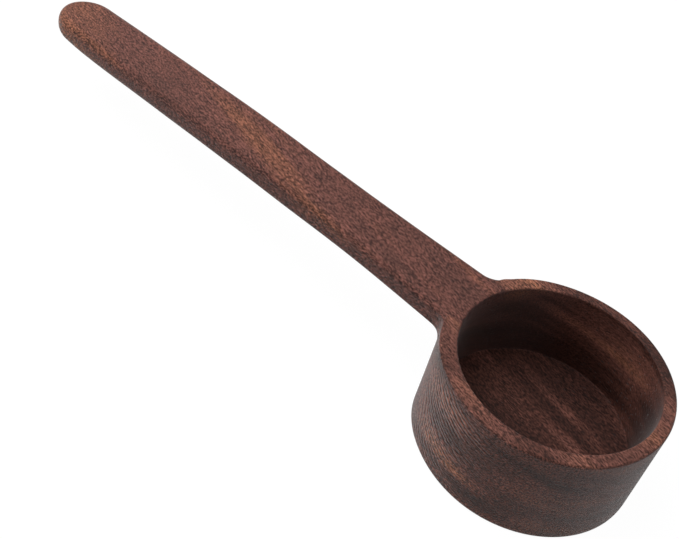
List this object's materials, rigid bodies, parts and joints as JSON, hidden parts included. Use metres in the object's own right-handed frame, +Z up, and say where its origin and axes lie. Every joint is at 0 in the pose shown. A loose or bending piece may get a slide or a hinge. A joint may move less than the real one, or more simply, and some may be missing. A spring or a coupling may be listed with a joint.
{
  "type": "bath salt scoop",
  "caption": "Dark wooden scoop with a round straight-walled cup and a long flat handle, for measuring out bath salts.",
  "frame": {"origin": "centre of the cup's flat base", "axes": "+Z up along the cup's axis, +X from the handle's tip towards the cup"},
  "size_m": [0.191, 0.05, 0.025],
  "materials": {
    "cup_wood": "oiled dark walnut, fine open grain, dull sheen",
    "handle_wood": "oiled dark walnut, fine open grain along the handle, dull sheen"
  },
  "bodies": {
    "root": {"cup": "cup_wood", "handle": "handle_wood"}
  },
  "joints": []
}
